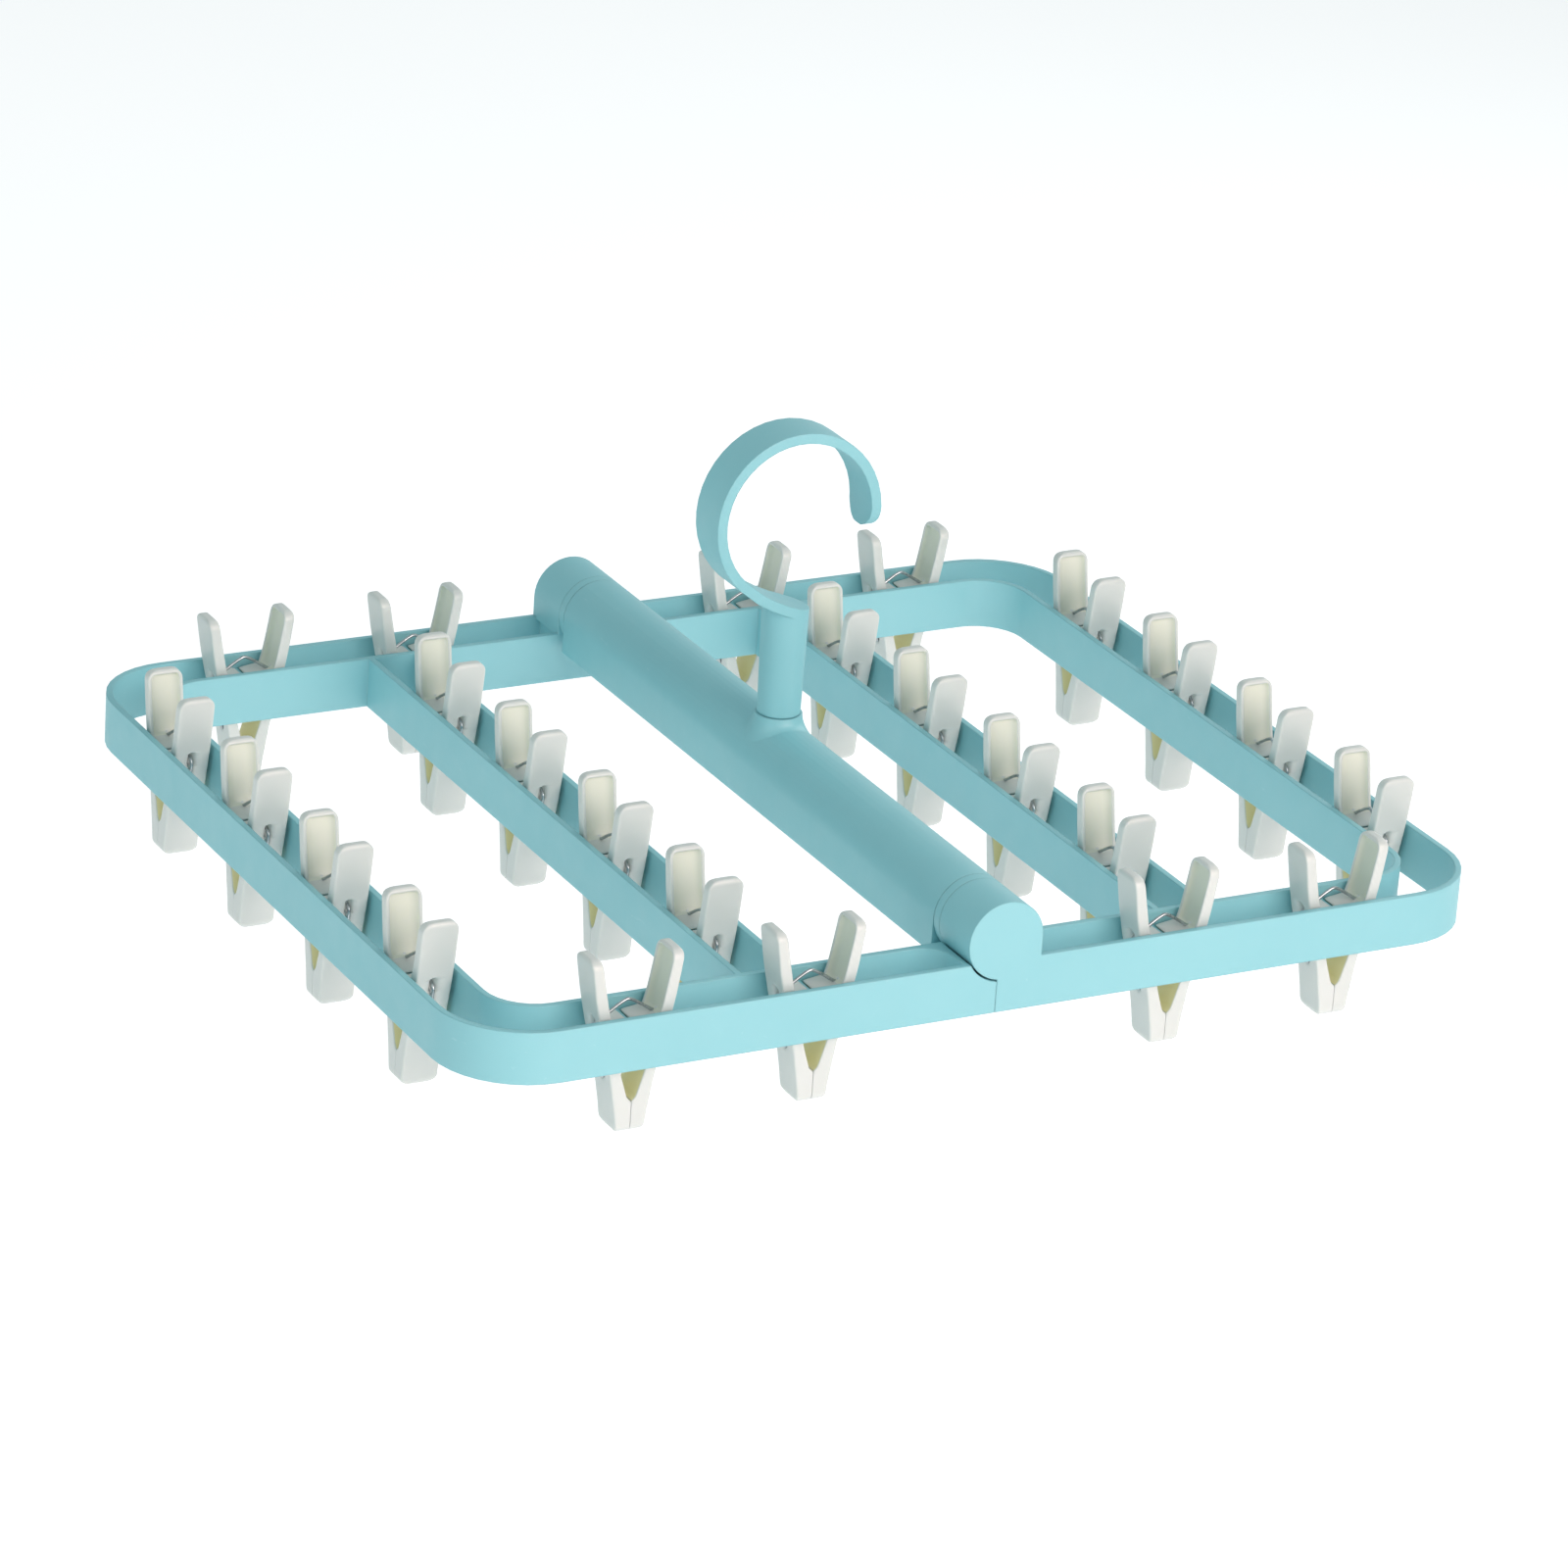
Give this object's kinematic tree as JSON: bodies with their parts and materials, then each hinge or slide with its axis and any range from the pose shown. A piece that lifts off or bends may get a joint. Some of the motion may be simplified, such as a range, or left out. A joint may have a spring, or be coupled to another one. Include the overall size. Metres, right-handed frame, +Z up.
{
  "type": "clip drying hanger",
  "caption": "Folding drying hanger: two channelled half frames hinged on a tubular spine, sprung pegs on cross pins in the rails and a swivelling rod hook.",
  "frame": {"origin": "the point on the inside top of the hook, straight above the swivel axis, that rests on the rod", "axes": "+X across the spine along the front and back rails, +Y along the spine to the back, +Z up"},
  "size_m": [0.42, 0.36, 0.1872],
  "materials": {
    "aqua_plastic": "satin injection-moulded polypropylene, pale aqua",
    "peg_plastic": "slightly translucent off-white polypropylene",
    "steel": "plain drawn steel"
  },
  "bodies": {
    "hook": {"hook": "aqua_plastic", "hook_retainer": "steel"},
    "spine": {"spine": "aqua_plastic"},
    "frame_left": {"frame_left": "aqua_plastic", "hinge_pin_back": "steel"},
    "frame_right": {"frame_right": "aqua_plastic", "hinge_pin_front": "steel"},
    "peg_left_rail_1_a": {"peg_left_rail_1_leg_a": "peg_plastic"},
    "peg_left_rail_1_b": {"peg_left_rail_1_leg_b": "peg_plastic"},
    "peg_left_rail_2_a": {"peg_left_rail_2_leg_a": "peg_plastic"},
    "peg_left_rail_2_b": {"peg_left_rail_2_leg_b": "peg_plastic"},
    "peg_left_rail_3_a": {"peg_left_rail_3_leg_a": "peg_plastic"},
    "peg_left_rail_3_b": {"peg_left_rail_3_leg_b": "peg_plastic"},
    "peg_left_rail_4_a": {"peg_left_rail_4_leg_a": "peg_plastic"},
    "peg_left_rail_4_b": {"peg_left_rail_4_leg_b": "peg_plastic"},
    "peg_left_bar_1_a": {"peg_left_bar_1_leg_a": "peg_plastic"},
    "peg_left_bar_1_b": {"peg_left_bar_1_leg_b": "peg_plastic"},
    "peg_left_bar_2_a": {"peg_left_bar_2_leg_a": "peg_plastic"},
    "peg_left_bar_2_b": {"peg_left_bar_2_leg_b": "peg_plastic"},
    "peg_left_bar_3_a": {"peg_left_bar_3_leg_a": "peg_plastic"},
    "peg_left_bar_3_b": {"peg_left_bar_3_leg_b": "peg_plastic"},
    "peg_left_bar_4_a": {"peg_left_bar_4_leg_a": "peg_plastic"},
    "peg_left_bar_4_b": {"peg_left_bar_4_leg_b": "peg_plastic"},
    "peg_right_bar_1_a": {"peg_right_bar_1_leg_a": "peg_plastic"},
    "peg_right_bar_1_b": {"peg_right_bar_1_leg_b": "peg_plastic"},
    "peg_right_bar_2_a": {"peg_right_bar_2_leg_a": "peg_plastic"},
    "peg_right_bar_2_b": {"peg_right_bar_2_leg_b": "peg_plastic"},
    "peg_right_bar_3_a": {"peg_right_bar_3_leg_a": "peg_plastic"},
    "peg_right_bar_3_b": {"peg_right_bar_3_leg_b": "peg_plastic"},
    "peg_right_bar_4_a": {"peg_right_bar_4_leg_a": "peg_plastic"},
    "peg_right_bar_4_b": {"peg_right_bar_4_leg_b": "peg_plastic"},
    "peg_right_rail_1_a": {"peg_right_rail_1_leg_a": "peg_plastic"},
    "peg_right_rail_1_b": {"peg_right_rail_1_leg_b": "peg_plastic"},
    "peg_right_rail_2_a": {"peg_right_rail_2_leg_a": "peg_plastic"},
    "peg_right_rail_2_b": {"peg_right_rail_2_leg_b": "peg_plastic"},
    "peg_right_rail_3_a": {"peg_right_rail_3_leg_a": "peg_plastic"},
    "peg_right_rail_3_b": {"peg_right_rail_3_leg_b": "peg_plastic"},
    "peg_right_rail_4_a": {"peg_right_rail_4_leg_a": "peg_plastic"},
    "peg_right_rail_4_b": {"peg_right_rail_4_leg_b": "peg_plastic"},
    "peg_front_rail_1_a": {"peg_front_rail_1_leg_a": "peg_plastic"},
    "peg_front_rail_1_b": {"peg_front_rail_1_leg_b": "peg_plastic"},
    "peg_front_rail_2_a": {"peg_front_rail_2_leg_a": "peg_plastic"},
    "peg_front_rail_2_b": {"peg_front_rail_2_leg_b": "peg_plastic"},
    "peg_front_rail_3_a": {"peg_front_rail_3_leg_a": "peg_plastic"},
    "peg_front_rail_3_b": {"peg_front_rail_3_leg_b": "peg_plastic"},
    "peg_front_rail_4_a": {"peg_front_rail_4_leg_a": "peg_plastic"},
    "peg_front_rail_4_b": {"peg_front_rail_4_leg_b": "peg_plastic"},
    "peg_back_rail_1_a": {"peg_back_rail_1_leg_a": "peg_plastic"},
    "peg_back_rail_1_b": {"peg_back_rail_1_leg_b": "peg_plastic"},
    "peg_back_rail_2_a": {"peg_back_rail_2_leg_a": "peg_plastic"},
    "peg_back_rail_2_b": {"peg_back_rail_2_leg_b": "peg_plastic"},
    "peg_back_rail_3_a": {"peg_back_rail_3_leg_a": "peg_plastic"},
    "peg_back_rail_3_b": {"peg_back_rail_3_leg_b": "peg_plastic"},
    "peg_back_rail_4_a": {"peg_back_rail_4_leg_a": "peg_plastic"},
    "peg_back_rail_4_b": {"peg_back_rail_4_leg_b": "peg_plastic"}
  },
  "joints": [
    {"name": "fold_left", "type": "hinge", "parent": "spine", "child": "frame_left", "pos_m": [0, 0, -0.12937], "axis": [0, 1, 0], "range_deg": [0, 64]},
    {"name": "fold_right", "type": "hinge", "parent": "spine", "child": "frame_right", "pos_m": [0, 0, -0.12937], "axis": [0, -1, 0], "range_deg": [0, 64]},
    {"name": "hook_swivel", "type": "hinge", "parent": "hook", "child": "spine", "pos_m": [0, 0, -0.11717], "axis": [0, 0, 1], "continuous": true},
    {"name": "swing_left_rail_1", "type": "hinge", "parent": "frame_left", "child": "peg_left_rail_1_a", "pos_m": [-0.1987, 0.1086, -0.14417], "axis": [-1, 0, 0], "range_deg": [-80, 80]},
    {"name": "squeeze_left_rail_1", "type": "hinge", "parent": "peg_left_rail_1_a", "child": "peg_left_rail_1_b", "pos_m": [-0.1987, 0.1086, -0.14417], "axis": [-1, 0, 0], "range_deg": [0, 20], "stiffness_Nm_per_rad": 0.2, "springref_deg": -28.65},
    {"name": "swing_left_rail_2", "type": "hinge", "parent": "frame_left", "child": "peg_left_rail_2_a", "pos_m": [-0.1987, 0.0362, -0.14417], "axis": [-1, 0, 0], "range_deg": [-80, 80]},
    {"name": "squeeze_left_rail_2", "type": "hinge", "parent": "peg_left_rail_2_a", "child": "peg_left_rail_2_b", "pos_m": [-0.1987, 0.0362, -0.14417], "axis": [-1, 0, 0], "range_deg": [0, 20], "stiffness_Nm_per_rad": 0.2, "springref_deg": -28.65},
    {"name": "swing_left_rail_3", "type": "hinge", "parent": "frame_left", "child": "peg_left_rail_3_a", "pos_m": [-0.1987, -0.0362, -0.14417], "axis": [-1, 0, 0], "range_deg": [-80, 80]},
    {"name": "squeeze_left_rail_3", "type": "hinge", "parent": "peg_left_rail_3_a", "child": "peg_left_rail_3_b", "pos_m": [-0.1987, -0.0362, -0.14417], "axis": [-1, 0, 0], "range_deg": [0, 20], "stiffness_Nm_per_rad": 0.2, "springref_deg": -28.65},
    {"name": "swing_left_rail_4", "type": "hinge", "parent": "frame_left", "child": "peg_left_rail_4_a", "pos_m": [-0.1987, -0.1086, -0.14417], "axis": [-1, 0, 0], "range_deg": [-80, 80]},
    {"name": "squeeze_left_rail_4", "type": "hinge", "parent": "peg_left_rail_4_a", "child": "peg_left_rail_4_b", "pos_m": [-0.1987, -0.1086, -0.14417], "axis": [-1, 0, 0], "range_deg": [0, 20], "stiffness_Nm_per_rad": 0.2, "springref_deg": -28.65},
    {"name": "swing_left_bar_1", "type": "hinge", "parent": "frame_left", "child": "peg_left_bar_1_a", "pos_m": [-0.086, 0.1086, -0.14417], "axis": [-1, 0, 0], "range_deg": [-80, 80]},
    {"name": "squeeze_left_bar_1", "type": "hinge", "parent": "peg_left_bar_1_a", "child": "peg_left_bar_1_b", "pos_m": [-0.086, 0.1086, -0.14417], "axis": [-1, 0, 0], "range_deg": [0, 20], "stiffness_Nm_per_rad": 0.2, "springref_deg": -28.65},
    {"name": "swing_left_bar_2", "type": "hinge", "parent": "frame_left", "child": "peg_left_bar_2_a", "pos_m": [-0.086, 0.0362, -0.14417], "axis": [-1, 0, 0], "range_deg": [-80, 80]},
    {"name": "squeeze_left_bar_2", "type": "hinge", "parent": "peg_left_bar_2_a", "child": "peg_left_bar_2_b", "pos_m": [-0.086, 0.0362, -0.14417], "axis": [-1, 0, 0], "range_deg": [0, 20], "stiffness_Nm_per_rad": 0.2, "springref_deg": -28.65},
    {"name": "swing_left_bar_3", "type": "hinge", "parent": "frame_left", "child": "peg_left_bar_3_a", "pos_m": [-0.086, -0.0362, -0.14417], "axis": [-1, 0, 0], "range_deg": [-80, 80]},
    {"name": "squeeze_left_bar_3", "type": "hinge", "parent": "peg_left_bar_3_a", "child": "peg_left_bar_3_b", "pos_m": [-0.086, -0.0362, -0.14417], "axis": [-1, 0, 0], "range_deg": [0, 20], "stiffness_Nm_per_rad": 0.2, "springref_deg": -28.65},
    {"name": "swing_left_bar_4", "type": "hinge", "parent": "frame_left", "child": "peg_left_bar_4_a", "pos_m": [-0.086, -0.1086, -0.14417], "axis": [-1, 0, 0], "range_deg": [-80, 80]},
    {"name": "squeeze_left_bar_4", "type": "hinge", "parent": "peg_left_bar_4_a", "child": "peg_left_bar_4_b", "pos_m": [-0.086, -0.1086, -0.14417], "axis": [-1, 0, 0], "range_deg": [0, 20], "stiffness_Nm_per_rad": 0.2, "springref_deg": -28.65},
    {"name": "swing_right_bar_1", "type": "hinge", "parent": "frame_right", "child": "peg_right_bar_1_a", "pos_m": [0.086, 0.1086, -0.14417], "axis": [-1, 0, 0], "range_deg": [-80, 80]},
    {"name": "squeeze_right_bar_1", "type": "hinge", "parent": "peg_right_bar_1_a", "child": "peg_right_bar_1_b", "pos_m": [0.086, 0.1086, -0.14417], "axis": [-1, 0, 0], "range_deg": [0, 20], "stiffness_Nm_per_rad": 0.2, "springref_deg": -28.65},
    {"name": "swing_right_bar_2", "type": "hinge", "parent": "frame_right", "child": "peg_right_bar_2_a", "pos_m": [0.086, 0.0362, -0.14417], "axis": [-1, 0, 0], "range_deg": [-80, 80]},
    {"name": "squeeze_right_bar_2", "type": "hinge", "parent": "peg_right_bar_2_a", "child": "peg_right_bar_2_b", "pos_m": [0.086, 0.0362, -0.14417], "axis": [-1, 0, 0], "range_deg": [0, 20], "stiffness_Nm_per_rad": 0.2, "springref_deg": -28.65},
    {"name": "swing_right_bar_3", "type": "hinge", "parent": "frame_right", "child": "peg_right_bar_3_a", "pos_m": [0.086, -0.0362, -0.14417], "axis": [-1, 0, 0], "range_deg": [-80, 80]},
    {"name": "squeeze_right_bar_3", "type": "hinge", "parent": "peg_right_bar_3_a", "child": "peg_right_bar_3_b", "pos_m": [0.086, -0.0362, -0.14417], "axis": [-1, 0, 0], "range_deg": [0, 20], "stiffness_Nm_per_rad": 0.2, "springref_deg": -28.65},
    {"name": "swing_right_bar_4", "type": "hinge", "parent": "frame_right", "child": "peg_right_bar_4_a", "pos_m": [0.086, -0.1086, -0.14417], "axis": [-1, 0, 0], "range_deg": [-80, 80]},
    {"name": "squeeze_right_bar_4", "type": "hinge", "parent": "peg_right_bar_4_a", "child": "peg_right_bar_4_b", "pos_m": [0.086, -0.1086, -0.14417], "axis": [-1, 0, 0], "range_deg": [0, 20], "stiffness_Nm_per_rad": 0.2, "springref_deg": -28.65},
    {"name": "swing_right_rail_1", "type": "hinge", "parent": "frame_right", "child": "peg_right_rail_1_a", "pos_m": [0.1987, 0.1086, -0.14417], "axis": [-1, 0, 0], "range_deg": [-80, 80]},
    {"name": "squeeze_right_rail_1", "type": "hinge", "parent": "peg_right_rail_1_a", "child": "peg_right_rail_1_b", "pos_m": [0.1987, 0.1086, -0.14417], "axis": [-1, 0, 0], "range_deg": [0, 20], "stiffness_Nm_per_rad": 0.2, "springref_deg": -28.65},
    {"name": "swing_right_rail_2", "type": "hinge", "parent": "frame_right", "child": "peg_right_rail_2_a", "pos_m": [0.1987, 0.0362, -0.14417], "axis": [-1, 0, 0], "range_deg": [-80, 80]},
    {"name": "squeeze_right_rail_2", "type": "hinge", "parent": "peg_right_rail_2_a", "child": "peg_right_rail_2_b", "pos_m": [0.1987, 0.0362, -0.14417], "axis": [-1, 0, 0], "range_deg": [0, 20], "stiffness_Nm_per_rad": 0.2, "springref_deg": -28.65},
    {"name": "swing_right_rail_3", "type": "hinge", "parent": "frame_right", "child": "peg_right_rail_3_a", "pos_m": [0.1987, -0.0362, -0.14417], "axis": [-1, 0, 0], "range_deg": [-80, 80]},
    {"name": "squeeze_right_rail_3", "type": "hinge", "parent": "peg_right_rail_3_a", "child": "peg_right_rail_3_b", "pos_m": [0.1987, -0.0362, -0.14417], "axis": [-1, 0, 0], "range_deg": [0, 20], "stiffness_Nm_per_rad": 0.2, "springref_deg": -28.65},
    {"name": "swing_right_rail_4", "type": "hinge", "parent": "frame_right", "child": "peg_right_rail_4_a", "pos_m": [0.1987, -0.1086, -0.14417], "axis": [-1, 0, 0], "range_deg": [-80, 80]},
    {"name": "squeeze_right_rail_4", "type": "hinge", "parent": "peg_right_rail_4_a", "child": "peg_right_rail_4_b", "pos_m": [0.1987, -0.1086, -0.14417], "axis": [-1, 0, 0], "range_deg": [0, 20], "stiffness_Nm_per_rad": 0.2, "springref_deg": -28.65},
    {"name": "swing_front_rail_1", "type": "hinge", "parent": "frame_left", "child": "peg_front_rail_1_a", "pos_m": [-0.1455, -0.1687, -0.14417], "axis": [0, -1, 0], "range_deg": [-80, 80]},
    {"name": "squeeze_front_rail_1", "type": "hinge", "parent": "peg_front_rail_1_a", "child": "peg_front_rail_1_b", "pos_m": [-0.1455, -0.1687, -0.14417], "axis": [0, -1, 0], "range_deg": [0, 20], "stiffness_Nm_per_rad": 0.2, "springref_deg": -28.65},
    {"name": "swing_front_rail_2", "type": "hinge", "parent": "frame_left", "child": "peg_front_rail_2_a", "pos_m": [-0.073, -0.1687, -0.14417], "axis": [0, -1, 0], "range_deg": [-80, 80]},
    {"name": "squeeze_front_rail_2", "type": "hinge", "parent": "peg_front_rail_2_a", "child": "peg_front_rail_2_b", "pos_m": [-0.073, -0.1687, -0.14417], "axis": [0, -1, 0], "range_deg": [0, 20], "stiffness_Nm_per_rad": 0.2, "springref_deg": -28.65},
    {"name": "swing_front_rail_3", "type": "hinge", "parent": "frame_right", "child": "peg_front_rail_3_a", "pos_m": [0.073, -0.1687, -0.14417], "axis": [0, -1, 0], "range_deg": [-80, 80]},
    {"name": "squeeze_front_rail_3", "type": "hinge", "parent": "peg_front_rail_3_a", "child": "peg_front_rail_3_b", "pos_m": [0.073, -0.1687, -0.14417], "axis": [0, -1, 0], "range_deg": [0, 20], "stiffness_Nm_per_rad": 0.2, "springref_deg": -28.65},
    {"name": "swing_front_rail_4", "type": "hinge", "parent": "frame_right", "child": "peg_front_rail_4_a", "pos_m": [0.1455, -0.1687, -0.14417], "axis": [0, -1, 0], "range_deg": [-80, 80]},
    {"name": "squeeze_front_rail_4", "type": "hinge", "parent": "peg_front_rail_4_a", "child": "peg_front_rail_4_b", "pos_m": [0.1455, -0.1687, -0.14417], "axis": [0, -1, 0], "range_deg": [0, 20], "stiffness_Nm_per_rad": 0.2, "springref_deg": -28.65},
    {"name": "swing_back_rail_1", "type": "hinge", "parent": "frame_left", "child": "peg_back_rail_1_a", "pos_m": [-0.1455, 0.1687, -0.14417], "axis": [0, -1, 0], "range_deg": [-80, 80]},
    {"name": "squeeze_back_rail_1", "type": "hinge", "parent": "peg_back_rail_1_a", "child": "peg_back_rail_1_b", "pos_m": [-0.1455, 0.1687, -0.14417], "axis": [0, -1, 0], "range_deg": [0, 20], "stiffness_Nm_per_rad": 0.2, "springref_deg": -28.65},
    {"name": "swing_back_rail_2", "type": "hinge", "parent": "frame_left", "child": "peg_back_rail_2_a", "pos_m": [-0.073, 0.1687, -0.14417], "axis": [0, -1, 0], "range_deg": [-80, 80]},
    {"name": "squeeze_back_rail_2", "type": "hinge", "parent": "peg_back_rail_2_a", "child": "peg_back_rail_2_b", "pos_m": [-0.073, 0.1687, -0.14417], "axis": [0, -1, 0], "range_deg": [0, 20], "stiffness_Nm_per_rad": 0.2, "springref_deg": -28.65},
    {"name": "swing_back_rail_3", "type": "hinge", "parent": "frame_right", "child": "peg_back_rail_3_a", "pos_m": [0.073, 0.1687, -0.14417], "axis": [0, -1, 0], "range_deg": [-80, 80]},
    {"name": "squeeze_back_rail_3", "type": "hinge", "parent": "peg_back_rail_3_a", "child": "peg_back_rail_3_b", "pos_m": [0.073, 0.1687, -0.14417], "axis": [0, -1, 0], "range_deg": [0, 20], "stiffness_Nm_per_rad": 0.2, "springref_deg": -28.65},
    {"name": "swing_back_rail_4", "type": "hinge", "parent": "frame_right", "child": "peg_back_rail_4_a", "pos_m": [0.1455, 0.1687, -0.14417], "axis": [0, -1, 0], "range_deg": [-80, 80]},
    {"name": "squeeze_back_rail_4", "type": "hinge", "parent": "peg_back_rail_4_a", "child": "peg_back_rail_4_b", "pos_m": [0.1455, 0.1687, -0.14417], "axis": [0, -1, 0], "range_deg": [0, 20], "stiffness_Nm_per_rad": 0.2, "springref_deg": -28.65}
  ]
}
